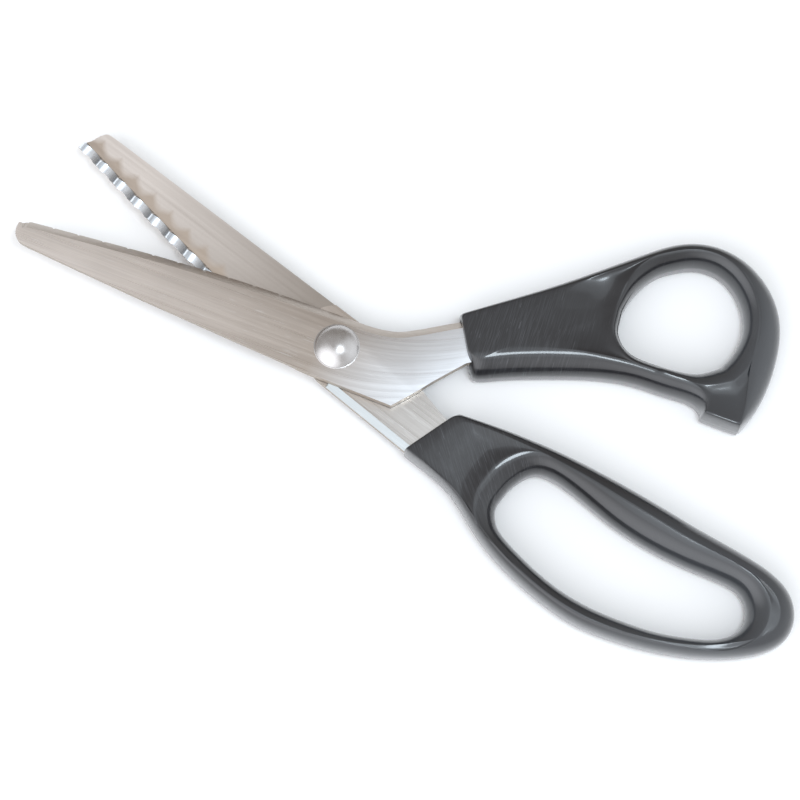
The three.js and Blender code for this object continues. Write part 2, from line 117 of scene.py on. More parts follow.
class HandleSizes(bpy.types.PropertyGroup):
    """Sizes of the two moulded handles, in millimetres."""

    wall: length("Wall", "Height of the upright wall below the rounded top", 4.6)
    foot: length("Foot", "Round along the underside", 1)
    seam: length("Seam", "Height of the mould's parting line", 3.6)
    seam_depth: length("Seam depth", "Depth of the parting line", 0.09)
    seam_width: length("Seam width", "Half width of the parting line", 0.16)
    valley: length("Valley", "Depth of the dip outside the raised ring of the finger loop", 0.75)
    ridge: length("Ridge", "Straightness of the slope from the ring's ridge to the finger hole", 0.06)
    thumb_valley: length("Thumb valley", "Depth of the same dip on the thumb loop", 0.6)
    thumb_ridge: length("Thumb ridge", "Straightness of the same slope on the thumb loop", 0.1)
    slot_gap: length("Slot gap", "Clearance between a tang and its slot", 0.1)


class PivotSizes(bpy.types.PropertyGroup):
    """Sizes of the bolt, the nut and the washers, in millimetres."""

    shank: length("Shank radius", "Radius of the bolt below its head", 3)
    rim: length("Rim height", "Upright rim below the dome of the head", 0.35)
    flats: length("Nut flats", "Width of the nut over its flats", 10.5)
    bore: length("Washer bore", "Radius of the holes round the bolt", 3.15)
    thread: length("Thread", "Pitch of the bolt's thread", 0.8)


class Finishes(bpy.types.PropertyGroup):
    """Base colours of the finishes."""

    steel: colour("Ground steel", "Flat faces of the blades", (0.85, 0.79, 0.745))
    # On the upper heel this colour is a painted reflection of the bright light; on the toothed bands it is
    # their ground tone under painted highlights.
    bright: colour("Bright steel", "Toothed bands and the heel", (0.86, 0.90, 0.95))
    bevel: colour("Bevel steel", "Ground bevels behind the edges", (0.50, 0.45, 0.405))
    # painted shade: warm brown standing for the teeth's shadow on the hollow face
    painted_tooth_shade: colour("Tooth_shade", "Warm stain beside the teeth", (0.53, 0.44, 0.36))
    # painted shade: the upright walls are darkened as if they reflected dark surroundings
    wall: colour("Darkened steel", "Upright walls of the blades and tangs", (0.40, 0.345, 0.29))
    tang: colour("Tang steel", "Flat faces of the lower tang", (0.54, 0.52, 0.50))
    strip: colour("Strip steel", "Chamfer along the lower tang", (0.40, 0.43, 0.44))
    shade: colour("Shaded steel", "Flat faces beside the pivot", (0.50, 0.44, 0.39))
    plastic: colour("Handle plastic", "Moulded handles", (0.0085, 0.0085, 0.0105))
    floor: colour("Floor", "Plain floor", (0.93, 0.93, 0.93))


# ---------- modelling helpers


def deselect():
    """Deselects every object."""
    for thing in bpy.context.view_layer.objects:
        thing.select_set(False)


def take(thing):
    """Makes one object the only selected and active one."""
    deselect()
    thing.select_set(True)
    bpy.context.view_layer.objects.active = thing


def settle(thing):
    """Applies a piece's location, rotation and scale."""
    take(thing)
    bpy.ops.object.transform_apply(location=True, rotation=True, scale=True)
    return thing


def modify(thing, kind, **settings):
    """Adds one modifier with its settings and applies it."""
    take(thing)
    bpy.ops.object.modifier_add(type=kind)
    step = thing.modifiers[-1]
    for name, value in settings.items():
        setattr(step, name, value)
    bpy.ops.object.modifier_apply(modifier=step.name)


def edit(operator, **options):
    """Runs one mesh operator on the active object's selected parts."""
    bpy.ops.object.mode_set(mode="EDIT")
    operator(**options)
    bpy.ops.object.mode_set(mode="OBJECT")


def edit_all(operator, **options):
    """Runs one mesh operator on all of the active object."""
    bpy.ops.object.mode_set(mode="EDIT")
    bpy.ops.mesh.select_all(action="SELECT")
    operator(**options)
    bpy.ops.object.mode_set(mode="OBJECT")


def outline_loop(points, fill="NGON"):
    """A circle primitive whose vertices are moved to the given points, in millimetres."""
    deselect()
    bpy.ops.mesh.primitive_circle_add(vertices=len(points), radius=1, fill_type=fill)
    thing = bpy.context.object
    for vertex, spot in zip(thing.data.vertices, points):
        vertex.co = Vector(spot) * MM
    return thing


def prism(*sections):
    """A closed blank through outlines of equal length, each given with its height."""
    outline, level = sections[0]
    thing = outline_loop([(x, y, level) for x, y in outline])
    for before, (after, height) in zip(sections, sections[1:]):
        edit(bpy.ops.mesh.extrude_region_move, TRANSFORM_OT_translate={"value": (0, 0, MM)})
        corners = [Vector(spot) * MM for spot in before[0]]
        for vertex in thing.data.vertices:
            if vertex.select:
                i = min(range(len(corners)), key=lambda k: (corners[k] - vertex.co.xy).length)
                vertex.co = Vector((after[i][0], after[i][1], height)) * MM
    tidy_normals(thing)
    return thing


def tidy_normals(thing, gap=2e-6):
    """Merges doubles and points the faces outwards."""
    take(thing)
    edit_all(bpy.ops.mesh.remove_doubles, threshold=gap)
    edit_all(bpy.ops.mesh.normals_make_consistent, inside=False)


def turned(profile, steps=128, sweep=math.tau, start=0.0):
    """A solid of revolution about the pivot axis, from [radius, height] pairs."""
    whole = sweep == math.tau
    spots = [(r * math.cos(start), r * math.sin(start), z) for r, z in profile]
    thing = outline_loop(spots, "NOTHING" if whole else "NGON")
    if whole and profile[0][0] == profile[-1][0] == 0:
        edit(bpy.ops.mesh.select_mode, type="EDGE")
        edit(bpy.ops.mesh.select_all, action="DESELECT")
        for line in thing.data.edges:
            line.select = set(line.vertices) == {0, len(profile) - 1}
        edit(bpy.ops.mesh.delete, type="EDGE_FACE")
    edit_all(bpy.ops.mesh.spin, steps=steps, angle=-sweep, center=(0, 0, 0), axis=(0, 0, 1))
    tidy_normals(thing)
    return thing


def drum(radius, bottom=-5, top=30, steps=96):
    """A plain cylinder about the pivot axis."""
    deselect()
    bpy.ops.mesh.primitive_cylinder_add(
        vertices=steps, radius=radius * MM, depth=(top - bottom) * MM,
        location=(0, 0, (top + bottom) / 2 * MM))
    return settle(bpy.context.object)


def block(low_corner, high_corner):
    """A plain box between two corners, in millimetres."""
    deselect()
    middle = [(a + b) / 2 * MM for a, b in zip(low_corner, high_corner)]
    bpy.ops.mesh.primitive_cube_add(size=1, location=middle)
    thing = bpy.context.object
    thing.scale = [(b - a) * MM for a, b in zip(low_corner, high_corner)]
    return settle(thing)


def combine(thing, tool, operation="DIFFERENCE"):
    """Cuts or meets a piece with a tool, which is used up."""
    modify(thing, "BOOLEAN", operation=operation, solver="EXACT", object=tool)
    bpy.data.objects.remove(tool)


def turn_open(thing):
    """Turns a piece drawn in the lower half's frame to the open upper half."""
    thing.rotation_euler.z = bpy.context.scene.blade_sizes.open_angle
    settle(thing)


def break_edges(thing, width):
    """Rounds the sharp edges slightly, as a stone or a mould leaves them."""
    modify(thing, "BEVEL", width=width * MM, segments=2, limit_method="ANGLE",
           angle_limit=math.radians(32), harden_normals=False)


def smooth(thing, angle):
    """Shades a piece smooth, except across edges sharper than the angle in degrees."""
    take(thing)
    bpy.ops.object.shade_smooth_by_angle(angle=math.radians(angle))


def finish_piece(thing, name, node, body, looks):
    """Names a piece, gives it its finishes and lets it stand for its frame node."""
    thing.name = name
    thing.data.name = name
    thing.data.materials.clear()
    for look in looks:
        thing.data.materials.append(look)
    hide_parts(node)
    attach(thing, body)


# ---------- curves in plan


def spline(points, count):
    """Points on a smooth curve through the given points, evenly spread over its spans."""
    spans = len(points) - 1
    result = []
    for k in range(count + 1):
        place = spans * k / count
        i = min(int(place), spans - 1)
        t = place - i
        a = points[max(i - 1, 0)]
        b, c = points[i], points[i + 1]
        d = points[min(i + 2, spans)]
        result.append(tuple(
            0.5 * (2 * q + (r - p) * t + (2 * p - 5 * q + 4 * r - s) * t * t
                   + (3 * q - p - 3 * r + s) * t ** 3)
            for p, q, r, s in zip(a, b, c, d)))
    return result


def shifted(line, distance):
    """Moves a polyline to its left by a distance that may change along it."""
    result = []
    for i, (x, y) in enumerate(line):
        (x0, y0), (x1, y1) = line[max(i - 1, 0)], line[min(i + 1, len(line) - 1)]
        span = math.hypot(x1 - x0, y1 - y0)
        d = distance(x) if callable(distance) else distance
        result.append((x - (y1 - y0) / span * d, y + (x1 - x0) / span * d))
    return result


def grown(outline, distance):
    """A closed counterclockwise outline moved outwards on every side."""
    result = []
    for i, spot in enumerate(outline):
        here = Vector(spot)
        a = (here - Vector(outline[i - 1])).normalized()
        b = (Vector(outline[(i + 1) % len(outline)]) - here).normalized()
        reach = distance / max(1 + a.dot(b), 0.3)
        result.append((here.x + (a.y + b.y) * reach, here.y - (a.x + b.x) * reach))
    return result


def ramp(x, start, stop):
    """Smooth step from 0 to 1."""
    t = min(1, max(0, (x - start) / (stop - start)))
    return t * t * (3 - 2 * t)


# ---------- blades

TANG_END = -50
TANG_MIDDLE = -34
TANG_LEAN = 0.035
TANG_CHAMFER = (2.2, 0.9)
THUMB_WAY = math.radians(209)
THUMB_TANG = 16
HOLLOW_START = 4
SPINE_SIDE = -8.4
CREST_STOCK = 0.4
TOOTH_STEPS = 20
LOWER_SWEEP, UPPER_SWEEP = (-4, 29), (-27, 4)
KEY_FLATS, KEY_NECK = 2.45, 2.3
FACE, BEVEL, TEETH, HOLLOW, STRIP, WALL = range(6)


def lower_edge(reach):
    """Cutting edge of the lower blade from its tip back past the pivot."""
    return spline([(reach, -1.8), (reach - 19, 1.3), (reach - 38, 4.2), (45, 5.9), (32, 8.1),
                   (20, 9.8), (9, 10.3), (-2, 10.2)], 66)


def upper_edge(reach):
    """Cutting edge of the upper blade from the neck forward to its tip."""
    return spline([(-31.5, -21), (-24.8, -16.9), (-19.5, -13.6), (-13.8, -10.7), (-7, -9.5),
                   (2, -9.4), (14, -9.2), (26, -8.9), (40, -8.3), (50, -7.6), (reach - 35, -6.8),
                   (reach - 15, -4.9), (reach - 0.6, -3.5)], 96)


def lower_outline(edge, reach):
    """Whole outline of the lower blade: its edge, the tang and the spine, back to the tip."""
    tip = edge[0][1]
    rise = tip - SPINE_SIDE
    spine = spline([(reach - 9, -10.45), (reach - 5.4, -10.4), (reach - 3.6, -10.1),
                    (reach - 2.3, SPINE_SIDE), (reach - 1.4, tip - rise * 0.58),
                    (reach - 0.3, tip - rise * 0.33)], 15)
    return [*edge, (TANG_END + 9, 10.2 - TANG_LEAN * (TANG_END + 9)), (TANG_END, 7), (TANG_END, -0.5),
            (-33, -3.5), (-20, -6.8), (-8, -9.6), (0, -10), *spine]


def upper_outline(edge, reach):
    """Whole outline of the upper blade: its edge, the nose, the back, the heel and the tang."""
    tip = edge[-1]
    away = (math.cos(THUMB_WAY) * THUMB_TANG, math.sin(THUMB_WAY) * THUMB_TANG)
    nose = spline([(tip[0] + 0.9, tip[1] + 0.6), (reach + 1.3, -1.9), (reach + 1.6, 0.1),
                   (reach + 0.9, 2.1), (reach - 0.8, 3.6), (reach - 4, 4.1)], 15)
    heel = spline([(-22.5, 7.3), (-25.5, 3.6), (-28.2, 0), (-31.7, -4.3), (-35.2, -8.5)], 20)
    return [*edge, *nose, (60, 6.5), (30, 8.4), (4, 9.9), (-20, 10.3), *heel,
            (-35.2 + away[0], -9.6 + away[1]), (-30.5 + away[0], -18.2 + away[1])]


def tooth_ring(level, far, sizes, sweep_from, sweep_to):
    """Cutter whose scalloped face follows the teeth and whose far side is flat."""
    step = sizes.pitch / TOOTH_STEPS
    half = sizes.pitch / 2
    _, depth, _ = mesh_levels(sizes)
    first = sizes.first_crest - 5 * sizes.pitch
    count = int((sizes.reach + sizes.pitch - first) / step)
    profile = []
    for k in range(count + 1):
        offset = (k % TOOTH_STEPS) * step - half
        rise = sizes.scallop - math.sqrt(sizes.scallop ** 2 - offset ** 2) - depth / 2
        profile.append((first + k * step, level + rise))
    profile += [(first + count * step, far), (first, far)]
    return turned(profile, 48, math.radians(sweep_to - sweep_from), math.radians(sweep_from))


def mesh_levels(sizes):
    """Meshing plane, tooth depth and the hollow faces' distance from the plane."""
    plane = (low("upper_blade") + high("lower_blade")) / 2
    half = sizes.pitch / 2
    depth = sizes.scallop - math.sqrt(sizes.scallop ** 2 - half ** 2)
    return plane, depth, depth / 2 + sizes.clearance / 2 + 0.25


def slanted(line, level, side, sizes, reach_out):
    """Cutter for a hollow face, with a border that slopes away from the toothed band."""
    plane, depth, _ = mesh_levels(sizes)
    rim = plane + side * depth / 2
    outlines = []
    for height in (level, rim + side * 4):
        width = sizes.band + sizes.band_slope * abs(height - rim) * (1 if height == level else -1)
        inner = shifted(line, width)
        outlines.append(([*inner, *reach_out(inner)], height))
    outlines.sort(key=lambda pair: pair[1])
    return prism(*outlines)


def cut_inside(body, front, side, inner, crest, sizes, reach_out, sweep):
    """Cuts a blank down to its root, hollow face and teeth; side is 1 where they face up."""
    plane, _, hollow = mesh_levels(sizes)
    low_side, high_side = sorted((inner, crest + 5 * side))
    combine(body, block((-90, -40, low_side), (sizes.start - 6, 40, high_side)))
    cutter = slanted(front, plane - side * hollow, side, sizes, reach_out)
    combine(cutter, drum(sizes.boss))
    combine(body, cutter)
    root = block((sizes.start - 7, -40, low_side), (sizes.start + 4, 40, high_side))
    combine(root, drum(sizes.start, steps=160), "INTERSECT")
    combine(body, root)
    combine(body, tooth_ring(plane - side * sizes.clearance / 2, crest + 3 * side, sizes, *sweep))


def tang_tool(low_corner, high_corner, across, level, tilt=0.0):
    """Box laid along the straight side of the lower tang."""
    tool = block(low_corner, high_corner)
    tool.rotation_euler = (tilt, 0, -TANG_LEAN)
    tool.location = Vector((TANG_MIDDLE, across - TANG_LEAN * TANG_MIDDLE, level)) * MM
    return settle(tool)


class SHEARS_OT_lower_blade(bpy.types.Operator):
    """Lower blade with its toothed edge, hollow face, bevel and tang"""

    bl_idname = "shears.lower_blade"
    bl_label = "Lower Blade"

    def execute(self, context):
        sizes = context.scene.blade_sizes
        reach = sizes.reach
        outer = low("lower_blade")
        inner = outer + sizes.thickness
        plane, depth, _ = mesh_levels(sizes)
        crest = plane + depth / 2 + CREST_STOCK
        edge = lower_edge(reach)
        bevelled = shifted(edge, lambda x: sizes.bevel * ramp(x, -2, 8))
        blank = lower_outline(edge, reach)
        body = prism((lower_outline(bevelled, reach), outer), (blank, plane - sizes.land), (blank, crest))
        front = [spot for spot in edge if spot[0] > HOLLOW_START]

        def spine_side(line):
            return [(line[-1][0], -30), (reach + 9, -30), (reach + 9, line[0][1])]

        cut_inside(body, front, 1, inner, crest, sizes, spine_side, LOWER_SWEEP)
        # chamfer and shallow line along the straight side of the tang
        tilt = -math.atan2(TANG_CHAMFER[1], TANG_CHAMFER[0])
        combine(body, tang_tool((-30, -4, 0), (30, 4, 4), 8.0, inner, tilt))
        combine(body, tang_tool((-30, -0.12, -0.16), (30, 0.12, 1), 7.95, inner))
        combine(body, drum(context.scene.pivot_sizes.bore))
        finish_blade(body, "lower_blade", LOWER, -1)
        return {"FINISHED"}


class SHEARS_OT_upper_blade(bpy.types.Operator):
    """Upper blade with its toothed edge, hollow face, bevel, heel and neck"""

    bl_idname = "shears.upper_blade"
    bl_label = "Upper Blade"

    def execute(self, context):
        sizes = context.scene.blade_sizes
        reach = sizes.reach
        outer = high("upper_blade")
        plane, depth, _ = mesh_levels(sizes)
        crest = plane - depth / 2 - CREST_STOCK
        edge = upper_edge(reach)
        blank = upper_outline(edge, reach)
        bevelled = upper_outline(shifted(edge, sizes.bevel), reach)
        body = prism((blank, crest), (blank, plane + sizes.land), (bevelled, outer))
        front = [spot for spot in edge if spot[0] > HOLLOW_START]

        def back_side(line):
            return [(reach + 9, line[-1][1]), (reach + 9, 30), (line[0][0], 30)]

        cut_inside(body, front, -1, outer - sizes.thickness, crest, sizes, back_side, UPPER_SWEEP)
        hole = drum(context.scene.pivot_sizes.bore)
        combine(hole, block((-9, -KEY_FLATS, -9), (9, KEY_FLATS, 40)), "INTERSECT")
        combine(body, hole)
        finish_blade(body, "upper_blade", UPPER, 1)
        turn_open(body)
        return {"FINISHED"}


def finish_blade(body, node, half, outward):
    """Breaks the edges, gives each kind of ground face its finish and smooths the teeth."""
    take(body)
    edit_all(bpy.ops.mesh.fill_holes, sides=0)
    tidy_normals(body)
    sizes = bpy.context.scene.blade_sizes
    plane, _, hollow = mesh_levels(sizes)
    break_edges(body, sizes.edge_round)
    finish_piece(body, node + "_ground", node, half, blade_looks(half))
    for face in body.data.polygons:
        lean = face.normal.z * outward
        height = (face.center.z / MM - plane) * outward
        forward = face.center.x / MM
        beyond = forward > 0 and math.hypot(forward, face.center.y / MM) > sizes.start - 1
        if beyond and lean < -0.3 and height < hollow - 0.08:
            face.material_index = TEETH
        elif 0.3 < lean < 0.97:
            face.material_index = BEVEL
        elif forward > 0 and lean < -0.3 and height > hollow - 0.4:
            face.material_index = HOLLOW
        elif half == LOWER and forward < 0 and -0.97 < lean < -0.6:
            face.material_index = STRIP
        elif abs(lean) <= 0.3:
            face.material_index = WALL
        else:
            face.material_index = FACE
    smooth(body, 14)


# ---------- handles

# Each station: outer wall x and y, finger hole x and y, width of the rounded top beside the
# outer wall and beside the hole. They run from one collar corner round the loop to the other.

FINGER_STATIONS = [
    (-32.4, 12.0, -61.7, 7.5, 0.7, 6.4), (-36.5, 12.0, -62.2, 9.0, 0.7, 6.2),
    (-41.5, 12.1, -63.1, 10.4, 0.8, 6.0), (-49.0, 12.9, -64.5, 11.8, 1.0, 5.6),
    (-55.5, 15.2, -66.5, 13.1, 1.4, 4.8), (-62.0, 17.8, -70.2, 14.2, 1.7, 3.9),
    (-70.0, 20.0, -75.6, 15.1, 1.8, 3.6), (-79.5, 21.3, -82.5, 15.9, 1.8, 3.5),
    (-89.5, 21.7, -90.5, 16.0, 1.9, 3.5), (-99.5, 20.9, -99.3, 14.8, 2.0, 3.6),
    (-111.0, 17.4, -108.5, 12.3, 2.2, 3.4), (-120.5, 13.4, -117.0, 9.3, 2.4, 3.2),
    (-129.5, 8.4, -124.5, 5.3, 2.8, 3.3), (-137.6, 2.2, -130.6, 1.2, 3.6, 4.0),
    (-143.6, -4.4, -133.9, -3.4, 4.2, 4.6), (-146.0, -10.8, -134.3, -7.5, 4.6, 5.2),
    (-144.2, -17.2, -132.3, -11.1, 4.8, 5.8), (-138.8, -21.7, -129.2, -13.0, 4.8, 5.2),
    (-130.8, -23.0, -125.7, -13.3, 4.4, 5.0), (-120.5, -22.1, -119.5, -11.9, 4.4, 5.6),
    (-109.5, -20.6, -110.0, -9.4, 4.6, 6.2), (-98.5, -19.5, -99.5, -7.7, 4.6, 6.9),
    (-87.5, -18.2, -89.5, -7.1, 4.4, 6.4), (-77.0, -16.6, -79.5, -7.6, 3.8, 5.0),
    (-67.5, -14.8, -71.0, -7.6, 3.4, 3.7), (-59.5, -12.8, -66.0, -6.4, 3.0, 4.8),
    (-52.0, -10.7, -63.6, -3.9, 2.6, 6.0), (-45.0, -8.4, -62.4, -0.9, 2.2, 6.6),
    (-38.0, -6.0, -61.8, 1.7, 2.0, 6.7),
]

THUMB_STATIONS = [
    (-37.8, -5.4, -70.9, -36.5, 5.6, 2.2), (-43.5, -8.2, -71.1, -34.5, 6.4, 2.2),
    (-49.3, -10.9, -71.6, -32.5, 6.6, 2.2), (-56.3, -13.7, -72.9, -30.5, 6.6, 2.0),
    (-64.3, -16.7, -75.0, -28.7, 6.2, 2.0), (-72.4, -19.2, -78.2, -27.7, 5.2, 2.6),
    (-80.4, -20.7, -82.5, -27.5, 4.3, 2.4), (-88.5, -20.9, -88.0, -27.8, 4.2, 2.4),
    (-95.0, -21.4, -92.5, -28.5, 4.0, 3.2), (-98.6, -20.9, -95.3, -29.3, 3.0, 4.0),
    (-100.6, -19.3, -97.0, -30.2, 1.0, 4.6), (-100.8, -17.9, -98.6, -31.3, 0.8, 5.0),
    (-112.0, -17.9, -101.4, -33.6, 0.8, 5.6), (-113.6, -21.4, -102.7, -36.3, 2.4, 5.8),
    (-115.1, -27.2, -103.6, -39.6, 5.0, 5.0), (-115.7, -34.2, -104.0, -43.4, 7.0, 4.6),
    (-115.4, -41.2, -103.6, -46.9, 7.4, 4.2), (-113.9, -49.2, -102.0, -51.0, 7.2, 4.2),
    (-110.2, -56.4, -99.4, -54.5, 6.6, 4.2), (-104.2, -62.0, -96.1, -57.2, 5.4, 4.0),
    (-97.0, -65.4, -92.6, -58.8, 4.2, 4.0), (-89.0, -66.3, -88.8, -59.3, 3.4, 3.6),
    (-81.5, -64.5, -84.5, -58.4, 3.0, 3.6), (-75.2, -60.8, -80.5, -56.2, 2.8, 3.8),
    (-68.8, -55.2, -76.5, -53.2, 2.4, 4.2), (-60.5, -47.8, -73.6, -49.0, 2.2, 4.0),
    (-51.5, -39.9, -71.8, -44.8, 2.0, 3.0), (-43.0, -33.0, -71.1, -41.6, 1.8, 2.4),
    (-35.5, -27.1, -70.8, -39.8, 1.6, 2.2), (-28.2, -21.3, -70.7, -38.6, 1.4, 2.2),
]

FRONT_STEPS = 6
ARC_STEPS = 6
PANEL = ((0.93, 0.1), (0.75, 0.45), (0.55, 0.8), (0.38, 1), (0.25, 0.95), (0.14, 0.6), (0.05, 0.15))
CORNER_CREASE, COLLAR_CREASE, FOOT_CREASE = 0.75, 0.25, 0.6
# Each: the rubbed spot on the collar, the centre of the painted bluish sheen, the lie of the scratches.
FINGER_WEAR_AND_SHEEN = ((-0.049, 0.004, 0.011), (-0.125, 0.0, 0.008), math.radians(35))
THUMB_WEAR_AND_SHEEN = ((-0.040, -0.030, 0.011), (-0.103, -0.075, 0.008), math.radians(70))


def handle_stations(stations, sharp):
    """Stations refined to two per span, with sharp ones kept as corners, and the collar's face."""
    outer, hole, rounds, corner = [], [], [], []
    last = len(stations) - 1
    for i in range(last):
        before = stations[i if i in sharp else max(i - 1, 0)]
        after = stations[i + 1 if i + 1 in sharp else min(i + 2, last)]
        span = [before, stations[i], stations[i + 1], after]
        parts = 1 if i in sharp or i + 1 in sharp else 2
        for j in range(parts):
            t = j / parts
            curve = spline(span, 3 * parts)[parts + j]
            outer.append(Vector(curve[0:2]))
            hole.append(Vector(curve[2:4]))
            widths = [stations[i][k] + (stations[i + 1][k] - stations[i][k]) * t for k in (4, 5)]
            rounds.append(widths)
            corner.append(i in sharp and j == 0)
    outer.append(Vector(stations[last][0:2]))
    hole.append(Vector(stations[last][2:4]))
    rounds.append(list(stations[last][4:6]))
    corner.append(True)
    front = Vector(stations[0][0:2]) - Vector(stations[last][0:2])
    around = spline([stations[last - 1], stations[last], stations[0], stations[1]],
                    3 * (FRONT_STEPS + 1))
    ends = (max(stations[last][4], 1.2) / front.length, 1 - max(stations[0][4], 1.2) / front.length)
    for j in range(FRONT_STEPS):
        t = ends[0] + (ends[1] - ends[0]) * j / (FRONT_STEPS - 1)
        outer.append(Vector(stations[last][0:2]) + front * t)
        hole.append(Vector(around[FRONT_STEPS + 2 + j][2:4]))
        rounds.append([0.55, stations[last][5] + (stations[0][5] - stations[last][5]) * t])
        corner.append(False)
    return outer, hole, rounds, corner, front.normalized()


def side_way(line, i, side):
    """Direction square to a closed line at one of its points."""
    a = (line[i] - line[i - 1]).normalized()
    b = (line[(i + 1) % len(line)] - line[i]).normalized()
    along = (a + b).normalized()
    return Vector((-along.y, along.x)) * side


def section_points(outer, hole, out, into, rounds, height, sizes, dip, slope):
    """One cross-section of a handle, from the underside's outer border round to the hole's."""
    ro, rh = rounds

    def beside(origin, way, inset, level):
        spot = origin + way * inset
        return Vector((spot.x, spot.y, level))

    def wall(origin, way):
        seam = sizes.seam
        gap = sizes.seam_width
        return [beside(origin, way, sizes.foot, 0), beside(origin, way, sizes.foot * 0.3, sizes.foot * 0.3),
                beside(origin, way, 0, sizes.foot), beside(origin, way, 0, seam - 2.5 * gap),
                beside(origin, way, 0, seam - gap), beside(origin, way, sizes.seam_depth, seam),
                beside(origin, way, 0, seam + gap)]

    rise = height - sizes.wall
    outer_side = wall(outer, out)
    for k in range(ARC_STEPS + 1):
        a = k / ARC_STEPS * math.pi / 2
        outer_side.append(beside(outer, out, ro * (1 - math.cos(a)), sizes.wall + rise * math.sin(a)))
    hole_side = wall(hole, into)
    for k in range(ARC_STEPS + 1):
        share = k / ARC_STEPS
        a = share * math.pi / 2
        inset = (1 - slope) * (1 - math.cos(a)) + slope * share
        lift = (1 - slope) * math.sin(a) + slope * share
        hole_side.append(beside(hole, into, rh * inset, sizes.wall + rise * lift))
    crest = hole_side[-1]
    border = outer_side[-1]
    width = (border - crest).length
    depth = dip * min(1, max(0, (width - 4) / 6))
    panel = []
    for share, sunk in PANEL:
        share = min(share, share * 14 / max(width, 0.01))
        spot = crest.lerp(border, share)
        panel.append(Vector((spot.x, spot.y, height - depth * sunk)))
    under = [outer_side[0].lerp(hole_side[0], share) for share in (0.33, 0.67)]
    return [*outer_side, *panel, *reversed(hole_side), *reversed(under)]


def handle_body(stations, sharp, dip, slope, sizes, height):
    """A loop handle: a ring of cross-sections moved onto the stations, then smoothed."""
    outer, hole, rounds, corner, face_way = handle_stations(stations, sharp)
    total = len(outer)
    face_start = total - FRONT_STEPS - 1
    rows = []
    for i in range(total):
        out = side_way(outer, i, 1)
        if i == 0 or i == face_start or corner[i]:
            a = (outer[i] - outer[i - 1]).normalized()
            b = (outer[(i + 1) % total] - outer[i]).normalized()
            out = Vector((-a.y - b.y, a.x + b.x)) / max(1 + a.dot(b), 0.4)
        elif i > face_start:
            out = Vector((-face_way.y, face_way.x))
        rows.append(section_points(outer[i], hole[i], out, side_way(hole, i, -1), rounds[i],
                                   height, sizes, dip, slope))
    count = len(rows[0])
    deselect()
    bpy.ops.mesh.primitive_torus_add(major_segments=total, minor_segments=count,
                                     major_radius=1, minor_radius=0.2, generate_uvs=False)
    body = bpy.context.object
    for k, vertex in enumerate(body.data.vertices):
        vertex.co = rows[k // count][k % count] * MM
    tidy_normals(body)
    crease = body.data.attributes.new("crease_edge", "FLOAT", "EDGE")
    sharp_rows = [k for k in range(total) if corner[k]][1:-1]
    for line in body.data.edges:
        first, second = line.vertices
        row, place = first // count, first % count
        if row == second // count and row in sharp_rows:
            crease.data[line.index].value = CORNER_CREASE
        elif row == second // count and row in (0, face_start):
            crease.data[line.index].value = COLLAR_CREASE
        elif row != second // count and place == second % count and place in (0, count - 3):
            crease.data[line.index].value = FOOT_CREASE
    modify(body, "SUBSURF", levels=2, render_levels=2)
    return body


def press_dish(body, start, stop, middle, half_width, depth):
    """Slopes the top of the collar down to the thumb hole, like the bowl of a spoon."""
    for vertex in body.data.vertices:
        x, y, z = vertex.co / MM
        if z > 8 and x > 1.3 * stop:
            across = max(0, 1 - ((y - middle) / half_width) ** 2)
            vertex.co.z -= depth * MM * ramp(x, start, stop) * across * across * (3 - 2 * across)


def finish_handle(body, node, half, tang, bottom, marks):
    """Cuts the tang's slot, turns an upper handle open and gives the plastic its looks."""
    gap = bpy.context.scene.handle_sizes.slot_gap
    wide = grown(tang, gap)
    top = bottom + bpy.context.scene.blade_sizes.thickness
    combine(body, prism((wide, bottom - gap), (wide, top + gap)))
    if half == UPPER:
        turn_open(body)
    # marks hold the rubbed spot, the painted sheen's centre and the scratches' lie
    finish_piece(body, node + "_moulded", node, half, [handle_look(*marks)])
    smooth(body, 40)


class SHEARS_OT_finger_handle(bpy.types.Operator):
    """Moulded handle with the long finger loop"""

    bl_idname = "shears.finger_handle"
    bl_label = "Finger Handle"

    def execute(self, context):
        sizes = context.scene.handle_sizes
        reach = context.scene.blade_sizes.reach
        body = handle_body(FINGER_STATIONS, [0], sizes.valley, sizes.ridge, sizes, high("finger_handle"))
        tang = lower_outline(lower_edge(reach), reach)
        finish_handle(body, "finger_handle", LOWER, tang, low("lower_blade"), FINGER_WEAR_AND_SHEEN)
        return {"FINISHED"}


class SHEARS_OT_thumb_handle(bpy.types.Operator):
    """Moulded handle with the round thumb loop and its stop lug"""

    bl_idname = "shears.thumb_handle"
    bl_label = "Thumb Handle"

    def execute(self, context):
        sizes = context.scene.handle_sizes
        blade = context.scene.blade_sizes
        body = handle_body(THUMB_STATIONS, [0, 11, 12], sizes.thumb_valley, sizes.thumb_ridge,
                           sizes, high("thumb_handle"))
        press_dish(body, start=-50, stop=-66, middle=-34.5, half_width=12, depth=0.6)
        tang = upper_outline(upper_edge(blade.reach), blade.reach)
        finish_handle(body, "thumb_handle", UPPER, tang, high("upper_blade") - blade.thickness, THUMB_WEAR_AND_SHEEN)
        return {"FINISHED"}


# ---------- pivot


